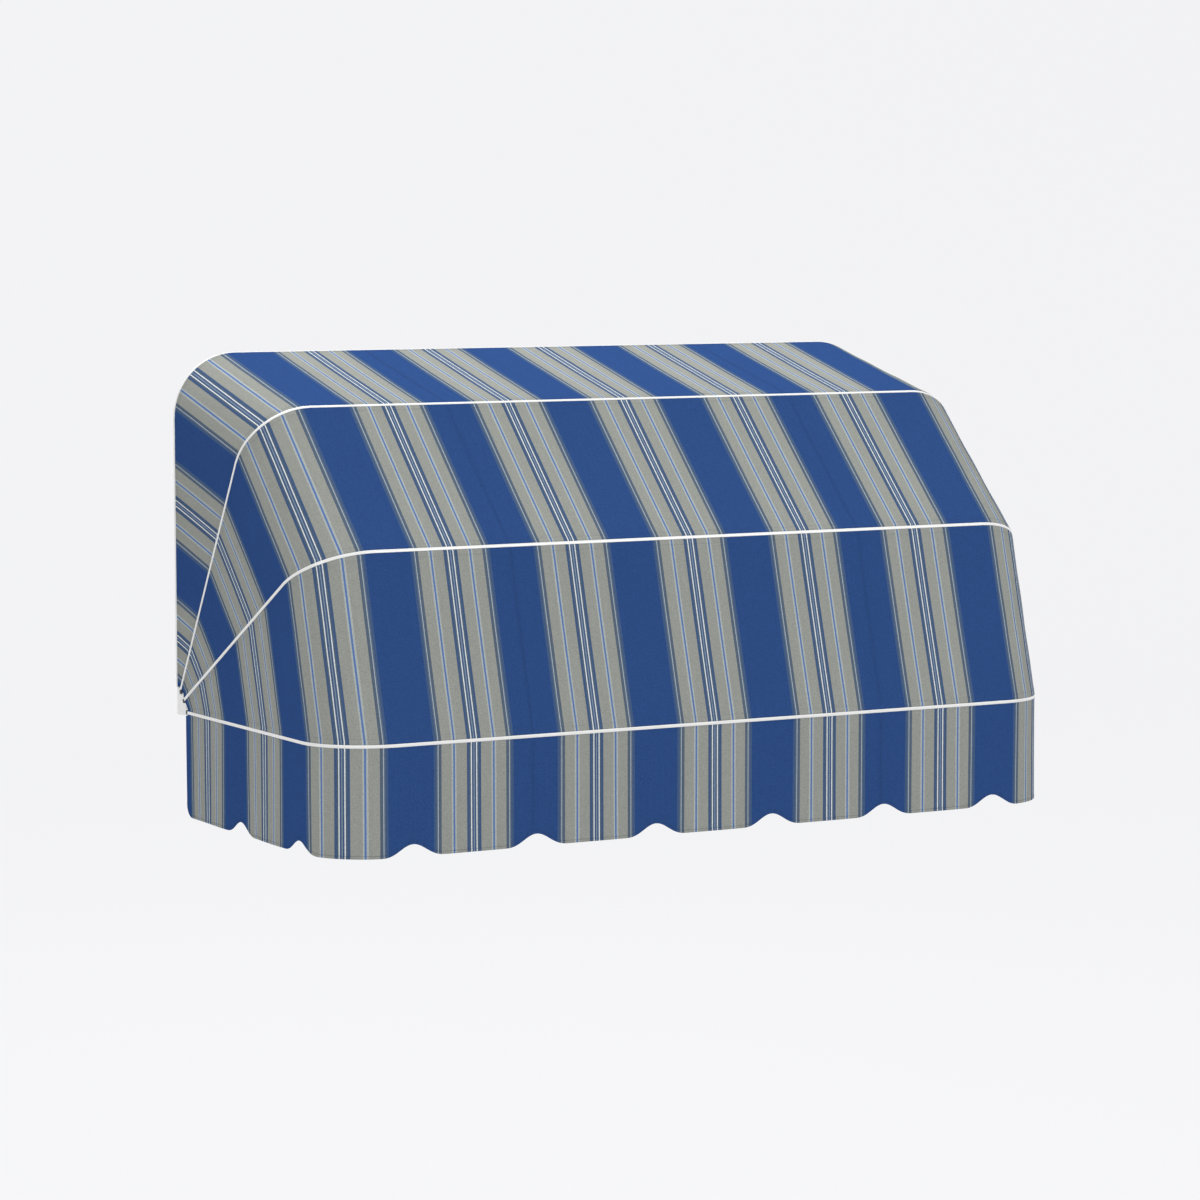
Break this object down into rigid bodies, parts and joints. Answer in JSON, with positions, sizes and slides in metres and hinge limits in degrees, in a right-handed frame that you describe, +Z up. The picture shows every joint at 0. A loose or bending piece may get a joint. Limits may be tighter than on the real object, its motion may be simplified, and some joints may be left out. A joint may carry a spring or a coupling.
{
  "type": "window awning",
  "caption": "Folding hood awning for a window: hinged bows covered in striped cloth, with a scalloped valance, on wall brackets.",
  "frame": {"origin": "on the back face of the middle wall clip, in the wall's plane, halfway along the awning", "axes": "+X along the wall, to the right as seen from the street; +Y into the wall; +Z up"},
  "size_m": [2.5, 1.1585, 1.4199],
  "materials": {
    "profile": "white powder coat, semi-gloss",
    "bracket": "light grey powder coat",
    "clip": "mill finish",
    "fixings": "plain stainless",
    "cord": "plain white",
    "cloth": "solution-dyed acrylic canvas, blue and grey stripes"
  },
  "bodies": {
    "wall_frame": {"bracket_left": "bracket", "bracket_right": "bracket", "bracket_screw_left_1": "fixings", "bracket_screw_left_2": "fixings", "bracket_screw_right_1": "fixings", "bracket_screw_right_2": "fixings", "clip_left_leg": "clip", "clip_right_leg": "clip", "clip_rivet_left_leg": "fixings", "clip_rivet_right_leg": "fixings", "clip_rivet_top_left": "fixings", "clip_rivet_top_middle": "fixings", "clip_rivet_top_right": "fixings", "clip_screw_left_leg": "fixings", "clip_screw_right_leg": "fixings", "clip_screw_top_left": "fixings", "clip_screw_top_middle": "fixings", "clip_screw_top_right": "fixings", "clip_top_left": "clip", "clip_top_middle": "clip", "clip_top_right": "clip", "front_bolt_left": "fixings", "front_bolt_right": "fixings", "front_nut_left": "fixings", "front_nut_right": "fixings", "middle_bolt_left": "fixings", "middle_bolt_right": "fixings", "middle_nut_left": "fixings", "middle_nut_right": "fixings", "upper_bolt_left": "fixings", "upper_bolt_right": "fixings", "upper_nut_left": "fixings", "upper_nut_right": "fixings", "wall_bow": "profile", "wall_bow_cord": "cord"},
    "upper_hoop": {"upper_bow": "profile", "upper_bow_top_cord": "cord", "upper_bow_low_cord": "cord", "upper_lug_left": "bracket", "upper_lug_right": "bracket", "top_panel": "cloth"},
    "middle_hoop": {"middle_bow": "profile", "middle_bow_top_cord": "cord", "middle_bow_low_cord": "cord", "middle_lug_left": "bracket", "middle_lug_right": "bracket", "middle_panel": "cloth"},
    "front_hoop": {"front_bow": "profile", "front_bow_top_cord": "cord", "valance_cord": "cord", "front_lug_left": "bracket", "front_lug_right": "bracket", "front_panel": "cloth", "valance": "cloth"}
  },
  "joints": [
    {"name": "front_hinge", "type": "hinge", "parent": "wall_frame", "child": "front_hoop", "pos_m": [0, -0.0855, -1.06188], "axis": [-1, 0, 0], "range_deg": [0, 89.25], "deforming": ["front_panel", "valance"]},
    {"name": "middle_hinge", "type": "hinge", "parent": "wall_frame", "child": "middle_hoop", "pos_m": [0, -0.061, -1.02933], "axis": [-1, 0, 0], "range_deg": [0, 61.1], "deforming": ["middle_panel"]},
    {"name": "upper_hinge", "type": "hinge", "parent": "wall_frame", "child": "upper_hoop", "pos_m": [0, -0.0365, -1.00413], "axis": [-1, 0, 0], "range_deg": [0, 31.8], "deforming": ["top_panel"]}
  ],
  "couplings": [
    {"joint": "upper_hinge", "follows": "front_hinge", "ratio": 0.3563},
    {"joint": "middle_hinge", "follows": "front_hinge", "ratio": 0.68459}
  ]
}
